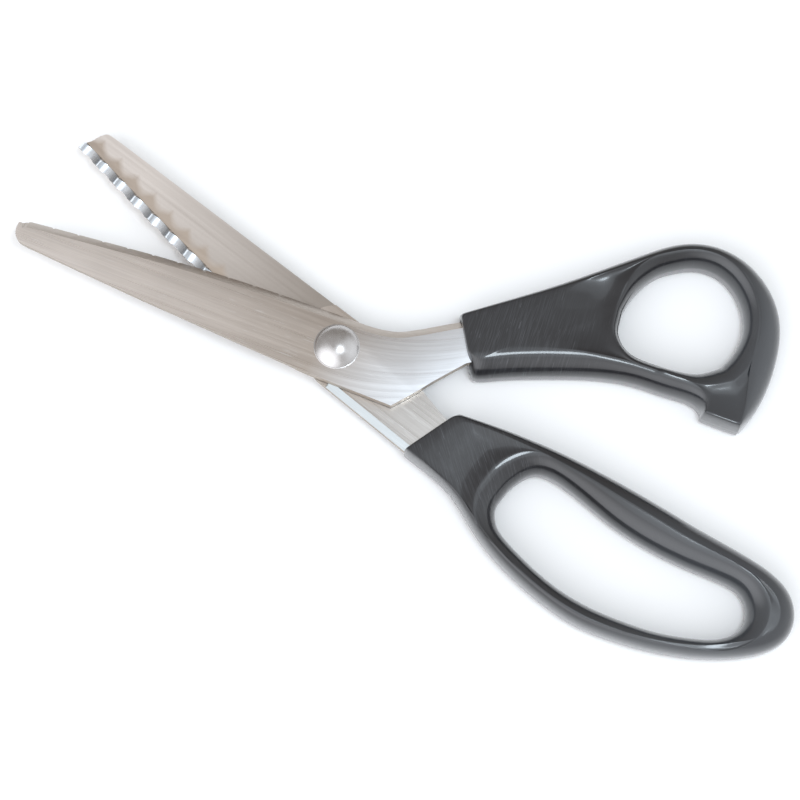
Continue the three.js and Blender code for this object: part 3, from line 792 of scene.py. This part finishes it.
class SHEARS_OT_pivot_bolt(bpy.types.Operator):
    """Domed pivot bolt with its keyed neck and threaded shank"""

    bl_idname = "shears.pivot_bolt"
    bl_label = "Pivot Bolt"

    def execute(self, context):
        sizes = context.scene.pivot_sizes
        blade = context.scene.blade_sizes
        top = high("pivot_bolt")
        radius = high("pivot_bolt", 0)
        seat = high("upper_blade") + 0.03
        neck = seat - blade.thickness
        brim = radius - 0.28
        bulge = top - seat - sizes.rim
        sphere = (brim ** 2 + bulge ** 2) / (2 * bulge)
        profile = [(0, top)]
        for k in range(1, 25):
            r = brim * math.sin(k / 24 * math.pi / 2)
            profile.append((r, top - sphere + math.sqrt(sphere ** 2 - r ** 2)))
        profile += [(brim + 0.03, seat + sizes.rim - 0.06), (radius - 0.1, seat + sizes.rim - 0.06),
                    (radius, seat + sizes.rim - 0.14), (radius, seat + 0.08), (radius - 0.08, seat),
                    (sizes.shank, seat), (sizes.shank, low("lower_blade") - 0.1)]
        turns = int((low("lower_blade") - 0.5) / sizes.thread)
        for k in range(turns):
            base = low("lower_blade") - 0.2 - k * sizes.thread
            profile += [(sizes.shank, base), (sizes.shank - 0.35, base - sizes.thread / 2)]
        profile += [(sizes.shank, 0.42), (sizes.shank - 0.34, 0), (0, 0)]
        body = turned(profile, 128)
        collar = drum(sizes.shank + 1, neck, seat)
        combine(collar, block((-9, -KEY_NECK, -9), (9, KEY_NECK, 40)))
        combine(body, collar)
        tidy_normals(body)
        turn_open(body)
        finish_piece(body, "pivot_bolt_polished", "pivot_bolt", UPPER, [dome_look()])
        smooth(body, 40)
        return {"FINISHED"}


class SHEARS_OT_pivot_nut(bpy.types.Operator):
    """Chamfered hexagon nut under the lower blade"""

    bl_idname = "shears.pivot_nut"
    bl_label = "Pivot Nut"

    def execute(self, context):
        sizes = context.scene.pivot_sizes
        bottom, top = low("pivot_nut"), high("pivot_nut")
        corner = sizes.flats / math.sqrt(3)
        body = drum(corner, bottom, top, 6)
        flat = sizes.flats / 2
        combine(body, turned([(0, bottom), (flat, bottom), (corner, bottom + 0.35),
                              (corner, top - 0.2), (flat, top), (0, top)], 96), "INTERSECT")
        combine(body, turned([(0, bottom - 1), (sizes.bore + 1.4, bottom - 1), (sizes.bore, bottom + 0.4),
                              (sizes.bore, top + 1), (0, top + 1)], 96))
        tidy_normals(body)
        break_edges(body, 0.08)
        turn_open(body)
        looks = [washer_look("nut_steel")]
        finish_piece(body, "pivot_nut_turned", "pivot_nut", UPPER, looks)
        smooth(body, 30)
        return {"FINISHED"}


class SHEARS_OT_washers(bpy.types.Operator):
    """Conical spring washer, flat washer and the thrust washer between the blades"""

    bl_idname = "shears.washers"
    bl_label = "Washers"

    def execute(self, context):
        bore = context.scene.pivot_sizes.bore
        look = washer_look("washer_steel")
        for node in ("spring_washer", "flat_washer", "thrust_washer"):
            bottom, top, radius = low(node), high(node), high(node, 0)
            dish = 0.2 if node == "spring_washer" else 0
            soft = min(0.06, (top - bottom - dish) / 4)
            upper = top - dish
            profile = [(bore, bottom + dish), (radius - soft, bottom), (radius, bottom + soft),
                       (radius, upper - soft), (radius - soft, upper), (bore, top)]
            body = turned(profile, 128)
            finish_piece(body, node + "_pressed", node, UPPER, [look])
            smooth(body, 30)
        return {"FINISHED"}


# ---------- shader groups


def socket(group, name, way, kind, value=None):
    made = group.interface.new_socket(name=name, in_out=way, socket_type="NodeSocket" + kind)
    if value is not None:
        made.default_value = value


def new_group(name, inputs, outputs):
    group = bpy.data.node_groups.new(name, "ShaderNodeTree")
    for label, kind, value in inputs:
        socket(group, label, "INPUT", kind, value)
    for label, kind in outputs:
        socket(group, label, "OUTPUT", kind)
    return group, group.nodes.new("NodeGroupInput"), group.nodes.new("NodeGroupOutput")


def tree_of(*values):
    """The node tree of the first value that is a socket."""
    return next(value.id_data for value in values if isinstance(value, bpy.types.NodeSocket))


def put(value, target):
    """Links a socket or sets a plain value."""
    if isinstance(value, bpy.types.NodeSocket):
        target.id_data.links.new(value, target)
    else:
        target.default_value = value


def sum_of(kind, a, b=0.0, c=0.0, clamp=False):
    """A Math node; returns its output."""
    made = tree_of(a, b, c).nodes.new("ShaderNodeMath")
    made.operation = kind
    made.use_clamp = clamp
    for k, value in enumerate((a, b, c)):
        put(value, made.inputs[k])
    return made.outputs[0]


def product(a, b):
    return sum_of("MULTIPLY", a, b)


def scaled_sum(a, factor, added):
    """a times factor, plus added."""
    return sum_of("MULTIPLY_ADD", a, factor, added)


def vector_of(kind, a, b=(0, 0, 0)):
    """A Vector Math node; returns the node."""
    made = tree_of(a, b).nodes.new("ShaderNodeVectorMath")
    made.operation = kind
    put(a, made.inputs[0])
    put(b, made.inputs[1])
    return made


def distance_from(spot, place):
    return vector_of("DISTANCE", spot, place).outputs["Value"]


def axis_distance(spot):
    """Distance from the pivot axis."""
    return vector_of("LENGTH", stretch(spot, (1, 1, 0))).outputs["Value"]


def split_up(vector):
    """The X, Y and Z of a vector."""
    made = tree_of(vector).nodes.new("ShaderNodeSeparateXYZ")
    put(vector, made.inputs[0])
    return made.outputs


def joined(*parts):
    """A vector from its X, Y and Z."""
    made = tree_of(*parts).nodes.new("ShaderNodeCombineXYZ")
    for k, part in enumerate(parts):
        put(part, made.inputs[k])
    return made.outputs[0]


def noise(vector, scale, detail=3.0, rough=0.55):
    made = tree_of(vector).nodes.new("ShaderNodeTexNoise")
    made.inputs["Scale"].default_value = scale
    made.inputs["Detail"].default_value = detail
    made.inputs["Roughness"].default_value = rough
    put(vector, made.inputs["Vector"])
    return made.outputs["Fac"]


def stretch(vector, scale, turn=0.0, shift=(0, 0, 0)):
    made = tree_of(vector).nodes.new("ShaderNodeMapping")
    made.inputs["Location"].default_value = shift
    made.inputs["Rotation"].default_value = (0, 0, turn)
    made.inputs["Scale"].default_value = scale
    put(vector, made.inputs["Vector"])
    return made.outputs["Vector"]


def between(value, low_in, high_in, low_out=0.0, high_out=1.0):
    """A clamped Map Range; returns its output."""
    made = tree_of(value).nodes.new("ShaderNodeMapRange")
    made.clamp = True
    for k, number in enumerate((value, low_in, high_in, low_out, high_out)):
        put(number, made.inputs[k])
    return made.outputs["Result"]


def blend_colour(share, a, b, kind="MIX"):
    made = tree_of(share, a, b).nodes.new("ShaderNodeMix")
    made.data_type = "RGBA"
    made.blend_type = kind
    put(share, made.inputs[0])
    for value, target in ((a, made.inputs[6]), (b, made.inputs[7])):
        put(value if isinstance(value, bpy.types.NodeSocket) else (*value, 1), target)
    return made.outputs[2]


def shared_group(name, make, **values):
    """Places a node group, made once, with its own values; returns its outputs."""
    made = tree_of(*values.values()).nodes.new("ShaderNodeGroup")
    made.node_tree = bpy.data.node_groups.get(name) or make(name)
    for label, value in values.items():
        put(value, made.inputs[label])
    return made.outputs


def grain_of(vector):
    return shared_group("ground_grain", make_grain, Vector=vector)


def scratches_of(vector, amount):
    return shared_group("fine_scratches", make_scratches, Vector=vector, Amount=amount)["Mask"]


def make_grain(name):
    """Fine parallel lines left by grinding: lines run along X of the given vector."""
    group, given, out = new_group(
        name, [("Vector", "Vector", (0, 0, 0)), ("Fineness", "Float", 1.0)],
        [("Lines", "Float"), ("Streaks", "Float"), ("Cloud", "Float")])
    scaled = vector_of("SCALE", given.outputs["Vector"])
    put(given.outputs["Fineness"], scaled.inputs["Scale"])
    put(noise(stretch(scaled.outputs[0], (60, 5200, 600)), 1.0, 2.0), out.inputs["Lines"])
    put(noise(stretch(scaled.outputs[0], (14, 900, 200)), 1.0, 2.0), out.inputs["Streaks"])
    put(noise(given.outputs["Vector"], 55.0, 3.0), out.inputs["Cloud"])
    return group


def make_scratches(name):
    """Thin scattered scratches in three directions, as a mask."""
    group, given, out = new_group(
        name, [("Vector", "Vector", (0, 0, 0)), ("Amount", "Float", 0.5)], [("Mask", "Float")])
    total = None
    for turn, shift in ((0.5, 0.0), (-0.9, 3.0), (1.9, 7.0)):
        lines = noise(stretch(given.outputs["Vector"], (90, 2600, 90), turn, (shift, shift, 0)), 1.0, 1.0)
        where = noise(stretch(given.outputs["Vector"], (1, 1, 1), 0, (shift, 0, shift)), 260.0, 1.0)
        mask = product(between(lines, 0.665, 0.72), between(where, 0.5, 0.6))
        total = mask if total is None else sum_of("MAXIMUM", total, mask)
    put(sum_of("MULTIPLY", total, given.outputs["Amount"], clamp=True), out.inputs["Mask"])
    return group


# ---------- finishes

NECK_CURVE = 0.112
HOLLOW_SHADE = 0.75


def new_material(name):
    """A material, its shader and the object coordinates."""
    look = bpy.data.materials.new(name)
    look.use_nodes = True
    spot = look.node_tree.nodes.new("ShaderNodeTexCoord").outputs["Object"]
    return look, look.node_tree.nodes["Principled BSDF"], spot


def bump(shader, height, distance, strength):
    made = tree_of(height).nodes.new("ShaderNodeBump")
    made.inputs["Strength"].default_value = strength
    made.inputs["Distance"].default_value = distance
    put(height, made.inputs["Height"])
    put(made.outputs["Normal"], shader.inputs["Normal"])


def metal(shader, tone, rough, height, distance, strength):
    """Gives a shader a metal's colour, roughness and fine relief."""
    put(tone, shader.inputs["Base Color"])
    shader.inputs["Metallic"].default_value = 1.0
    put(rough, shader.inputs["Roughness"])
    bump(shader, height, distance, strength)


def own_frame(spot, half):
    """Position in a half's own frame."""
    turn = -bpy.context.scene.blade_sizes.open_angle if half == UPPER else 0.0
    return stretch(spot, (1, 1, 1), turn)


def straightened(own, half):
    """The half's own frame, with the neck's curve straightened on the upper half."""
    if half == LOWER:
        return own
    x, y, z = split_up(own)
    behind = sum_of("MINIMUM", x, 0.0)
    drop = product(product(behind, behind), 1 / NECK_CURVE)
    return joined(x, sum_of("ADD", y, drop), z)


def steel_look(name, half, tone, rough, worn=0.5, heel=None):
    """Steel ground along the blade, with fine lines, faint clouds and a few scratches."""
    look, shader, spot = new_material(name)
    own = own_frame(spot, half)
    grain = grain_of(straightened(own, half))
    marks = scratches_of(own, worn)
    base = tuple(tone)
    # painted shade and reflection: faces darken towards the pivot, and the heel blends to its colour, on
    # the upper blade a painted reflection of the bright light, on the lower blade the tang's tone
    if heel is not None:
        x, y, _ = split_up(own)
        base = blend_colour(between(x, 0.080, 0.006), tone, bpy.context.scene.finishes.shade)
        diagonal = scaled_sum(y, -0.35, x)
        base = blend_colour(between(diagonal, 0.003, -0.027), base, heel)
    lighter = between(grain["Lines"], 0.3, 0.7, 0.93, 1.05)
    cloudy = between(grain["Cloud"], 0.3, 0.7, 0.96, 1.03)
    level = product(lighter, cloudy)
    toned = blend_colour(1.0, base, joined(level, level, level), "MULTIPLY")
    metal(shader, blend_colour(product(marks, 0.5), toned, (0.9, 0.9, 0.9)),
          between(grain["Streaks"], 0.3, 0.7, rough - 0.05, rough + 0.07),
          sum_of("ADD", grain["Lines"], product(marks, -1.0)), 0.000006, 0.2)
    return look


def band_look(name):
    """Toothed band: painted highlights and shade across each tooth, with bright valleys, darker flanks and
    a thin painted highlight on each crest.
    """
    look, shader, spot = new_material(name)
    sizes = bpy.context.scene.blade_sizes
    bright = bpy.context.scene.finishes.bright
    away = axis_distance(spot)
    turns = scaled_sum(away, 1 / (sizes.pitch * MM), -sizes.first_crest / sizes.pitch)
    speckle = noise(spot, 700.0, 2.0)
    place = sum_of("FRACT", sum_of("ADD", turns, scaled_sum(speckle, 0.10, -0.05)))
    lines = noise(stretch(joined(0.0, away, 0.0), (1, 2400, 1)), 1.0, 2.0)
    # painted highlight: a thin bright line on each crest
    crest = between(sum_of("ABSOLUTE", sum_of("SUBTRACT", place, 0.5)), 0.455, 0.475)
    # painted highlight and shade: brightness rises and falls across each tooth as light would fall on its
    # curve
    painted_tooth_light = tree_of(place).nodes.new("ShaderNodeValToRGB")
    stops = painted_tooth_light.color_ramp.elements
    for at, level in ((0.12, 0.42), (0.3, 0.62), (0.5, 1.0), (0.68, 0.75), (0.9, 0.36)):
        stops.new(at).color = (level, level, level, 1)
    stops[0].color = stops[-1].color = (0.5, 0.5, 0.5, 1)
    put(place, painted_tooth_light.inputs["Fac"])
    ground = blend_colour(1.0, bright, painted_tooth_light.outputs["Color"], "MULTIPLY")
    streaked = blend_colour(between(lines, 0.35, 0.65, 0.0, 0.3), ground, bright)
    metal(shader, blend_colour(crest, streaked, bright), between(speckle, 0.3, 0.7, 0.2, 0.34),
          lines, 0.000006, 0.5)
    return look


def hollow_look(name, half):
    """Hollow face: satin steel with a painted warm shade of the teeth that follows the scallops beside the
    band.
    """
    look, shader, spot = new_material(name)
    sizes = bpy.context.scene.blade_sizes
    tones = bpy.context.scene.finishes
    own = own_frame(spot, half)
    x, y, _ = split_up(own)
    side, slope, offset = (-1, -0.152, 12.9) if half == LOWER else (1, -0.07, 10.6)
    distance = sum_of("ADD", product(y, float(side)), scaled_sum(x, slope, offset * MM))
    phase = scaled_sum(axis_distance(own), math.pi / (sizes.pitch * MM),
                       -math.pi * sizes.first_crest / sizes.pitch)
    border = scaled_sum(sum_of("ABSOLUTE", sum_of("COSINE", phase)), -0.0021, 0.0068)
    wobble = scaled_sum(noise(own, 240.0, 2.0), 0.0016, -0.0008)
    edge = sum_of("ADD", border, wobble)
    # painted shade: a scalloped warm band beside the teeth, where their shadow would fall on the hollow
    # face
    painted_shade = between(sum_of("SUBTRACT", distance, edge), -0.0011, 0.0011, 1.0, 0.0)
    grain = grain_of(own)
    shaded = tuple(HOLLOW_SHADE * part for part in tones.shade)
    ground = blend_colour(between(x, 0.075, 0.014), tones.steel, shaded)
    cloudy = between(grain["Cloud"], 0.3, 0.7, 0.0, 0.35)
    plain = blend_colour(cloudy, ground, (0.88, 0.87, 0.86), "MULTIPLY")
    metal(shader, blend_colour(product(painted_shade, 0.8), plain, tones.painted_tooth_shade),
          between(grain["Streaks"], 0.3, 0.7, 0.34, 0.46), grain["Lines"], 0.000005, 0.6)
    return look


def blade_looks(half):
    """Finishes of one blade, in the order of its slots."""
    tones = bpy.context.scene.finishes
    tag = half.split("_")[0] + "_blade_"
    # the upper heel's bright colour is a painted reflection
    heel = tones.bright if half == UPPER else tones.tang
    return [steel_look(tag + "face", half, tones.steel, 0.3, 0.5, heel),
            steel_look(tag + "bevel", half, tones.bevel, 0.4, 0.3),
            band_look(tag + "teeth"),
            hollow_look(tag + "hollow", half),
            steel_look(tag + "strip", half, tones.strip, 0.3, 0.2),
            # the wall finish is a painted shade, darker than the faces
            steel_look(tag + "wall", half, tones.wall, 0.42, 0.2)]


def dome_look():
    """Polished steel with faint haze and small dents."""
    look, shader, spot = new_material("dome_polish")
    haze = noise(spot, 420.0, 3.0)
    fine = noise(stretch(spot, (500, 3500, 500), 0.4), 1.0, 2.0)
    metal(shader, blend_colour(haze, (0.45, 0.43, 0.42), (0.60, 0.59, 0.59)),
          between(haze, 0.3, 0.7, 0.2, 0.3), sum_of("ADD", product(haze, 3.0), fine), 0.000012, 0.7)
    return look


def washer_look(name):
    """Plain turned steel, with rings about the pivot axis."""
    look, shader, spot = new_material(name)
    rings = noise(joined(axis_distance(spot), 0.0, 0.0), 5200.0, 2.0)
    metal(shader, blend_colour(noise(spot, 600.0, 3.0), (0.52, 0.51, 0.5), (0.66, 0.65, 0.64)),
          between(rings, 0.3, 0.7, 0.24, 0.42), rings, 0.000008, 0.6)
    return look


def handle_look(worn_spot, sheen_spot, lie):
    """Glossy black moulded plastic: scratched on the collar, with a painted bluish sheen at the far end and
    a painted floor reflection along the foot.
    """
    look, shader, spot = new_material("handle_plastic")
    ragged = scaled_sum(noise(spot, 130.0, 3.0), 0.014, -0.007)
    rubbed = between(sum_of("ADD", distance_from(spot, worn_spot), ragged), 0.007, 0.026, 1.0, 0.0)
    swirl = stretch(spot, (1, 1, 1), lie)
    brushed = noise(stretch(swirl, (160, 3600, 160)), 1.0, 2.0)
    lines = product(between(brushed, 0.45, 0.7), rubbed)
    scratch = product(scratches_of(swirl, 1.0), scaled_sum(rubbed, 0.75, 0.12))
    wear = sum_of("MAXIMUM", product(lines, 0.4), scratch)
    z = split_up(spot)["Z"]
    # painted reflection: a lighter grey band low on the wall, standing for the floor's reflection
    foot = product(between(z, 0.0002, 0.0012), between(z, 0.0035, 0.0055, 1.0, 0.0))
    # painted sheen: bluish grey round the far end, standing for the reflection of the light
    painted_sheen = between(distance_from(spot, sheen_spot), 0.012, 0.045, 1.0, 0.0)
    tone = blend_colour(painted_sheen, bpy.context.scene.finishes.plastic, (0.036, 0.039, 0.044))
    body = blend_colour(foot, tone, (0.13, 0.125, 0.13))
    put(blend_colour(product(wear, 0.35), body, (0.16, 0.17, 0.19)), shader.inputs["Base Color"])
    dust = between(noise(spot, 900.0, 3.0), 0.3, 0.75, 0.3, 0.38)
    rough = sum_of("ADD", dust, product(rubbed, 0.12))
    put(scaled_sum(wear, 0.22, rough), shader.inputs["Roughness"])
    for label, value in (("IOR", 1.52), ("Specular IOR Level", 0.28), ("Coat Weight", 0.9),
                         ("Coat Roughness", 0.1)):
        shader.inputs[label].default_value = value
    height = scaled_sum(noise(spot, 160.0, 2.0), 6.0, product(wear, -1.0))
    bump(shader, height, 0.000012, 0.8)
    return look


# ---------- stage

CAMERA_SPOT = (-0.11215, 0.11598, 0.59128)
CAMERA_AXES = ((-0.79016, -0.61291, 0.0), (0.5947, -0.7667, 0.2419), (-0.14828, 0.19116, 0.9703))
CAMERA_LENS = 98.0
FLOOR_GAP = 0.0002
SKY_TONE = (0.40, 0.375, 0.35)
# direction, where the glow starts and is full (as a cosine), and its colour
SKY_GLOWS = (((-0.35, 0.85, 0.4), -0.8, 0.9, (0.86, 0.86, 0.87)),
             ((0.08, 0.87, 0.48), 0.6, 1.0, (2.5, 2.55, 2.65)),
             ((-0.76, -0.55, 0.35), 0.55, 1.0, (1.25, 1.3, 1.35)))
LIGHT_AIM = (-0.14, 0, 0)
LIGHT_TINT = (0.82, 0.92, 1.0)


def soft_light(name, spot, size, strength):
    """An oval soft light; strength is its brightness as seen in a mirror."""
    data = bpy.data.lights.new(name, "AREA")
    data.shape = "ELLIPSE"
    data.size, data.size_y = size
    data.color = LIGHT_TINT
    data.energy = strength * math.pi * size[0] * size[1] * math.pi / 4
    light = bpy.data.objects.new(name, data)
    light.location = spot
    light.rotation_mode = "QUATERNION"
    light.rotation_quaternion = (Vector(LIGHT_AIM) - Vector(spot)).to_track_quat("-Z", "Y")
    bpy.context.scene.collection.objects.link(light)


class SHEARS_OT_stage(bpy.types.Operator):
    """Plain floor, soft light and the camera"""

    bl_idname = "shears.stage"
    bl_label = "Stage"

    def execute(self, context):
        scene = context.scene
        deselect()
        bpy.ops.mesh.primitive_plane_add(size=4, location=(0, 0, -FLOOR_GAP))
        floor = context.object
        floor.name = "floor"
        look, shader, spot = new_material("floor_paper")
        tone = scene.finishes.floor
        darker = tuple(part * 0.985 for part in tone)
        put(blend_colour(noise(spot, 3.0, 2.0), tone, darker), shader.inputs["Base Color"])
        shader.inputs["Roughness"].default_value = 0.9
        floor.data.materials.append(look)

        world = bpy.data.worlds.new("soft_room")
        scene.world = world
        world.use_nodes = True
        sky = world.node_tree.nodes
        way = sky.new("ShaderNodeTexCoord").outputs["Generated"]
        tint = SKY_TONE
        for direction, start, full, bright in SKY_GLOWS:
            toward = vector_of("DOT_PRODUCT", way, direction).outputs["Value"]
            tint = blend_colour(between(toward, start, full), tint, bright)
        put(tint, sky["Background"].inputs["Color"])
        sky["Background"].inputs["Strength"].default_value = 1.0

        soft_light("window_light", (-0.175, -0.025, 0.65), (0.16, 0.15), 17.0)
        soft_light("window_halo", (-0.18, -0.02, 0.66), (0.50, 0.44), 0.7)

        data = bpy.data.cameras.new("view")
        data.lens = CAMERA_LENS
        data.sensor_width = 36.0
        data.clip_start, data.clip_end = 0.01, 20.0
        camera = bpy.data.objects.new("view", data)
        placed = Matrix([(*row, spot) for row, spot in zip(zip(*CAMERA_AXES), CAMERA_SPOT)])
        camera.matrix_world = placed.to_4x4()
        scene.collection.objects.link(camera)
        scene.camera = camera
        scene.view_settings.view_transform = "Standard"
        return {"FINISHED"}


# ---------- panel and registration

STEPS = (SHEARS_OT_stage, SHEARS_OT_lower_blade, SHEARS_OT_upper_blade, SHEARS_OT_finger_handle,
         SHEARS_OT_thumb_handle, SHEARS_OT_pivot_bolt, SHEARS_OT_pivot_nut, SHEARS_OT_washers)
SETTINGS = {"blade_sizes": BladeSizes, "handle_sizes": HandleSizes, "pivot_sizes": PivotSizes,
            "finishes": Finishes}


class SHEARS_PT_panel(bpy.types.Panel):
    """Lists the pieces, their sizes and their colours"""

    bl_idname = "SHEARS_PT_panel"
    bl_label = "Pinking Shears"
    bl_space_type = "VIEW_3D"
    bl_region_type = "UI"
    bl_category = "Shears"

    def draw(self, context):
        for step in STEPS:
            self.layout.operator(step.bl_idname)
        for name, kind in SETTINGS.items():
            box = self.layout.box()
            for label in kind.__annotations__:
                box.prop(getattr(context.scene, name), label)


def register():
    """Registers the settings, the operators and the panel."""
    for kind in (*SETTINGS.values(), *STEPS, SHEARS_PT_panel):
        bpy.utils.register_class(kind)
    for name, kind in SETTINGS.items():
        setattr(bpy.types.Scene, name, bpy.props.PointerProperty(type=kind))


def unregister():
    for name in SETTINGS:
        delattr(bpy.types.Scene, name)
    for kind in reversed((*SETTINGS.values(), *STEPS, SHEARS_PT_panel)):
        bpy.utils.unregister_class(kind)


def main():
    register()
    for step in STEPS:
        group, name = step.bl_idname.split(".")
        getattr(getattr(bpy.ops, group), name)()


if __name__ == "__main__":
    main()
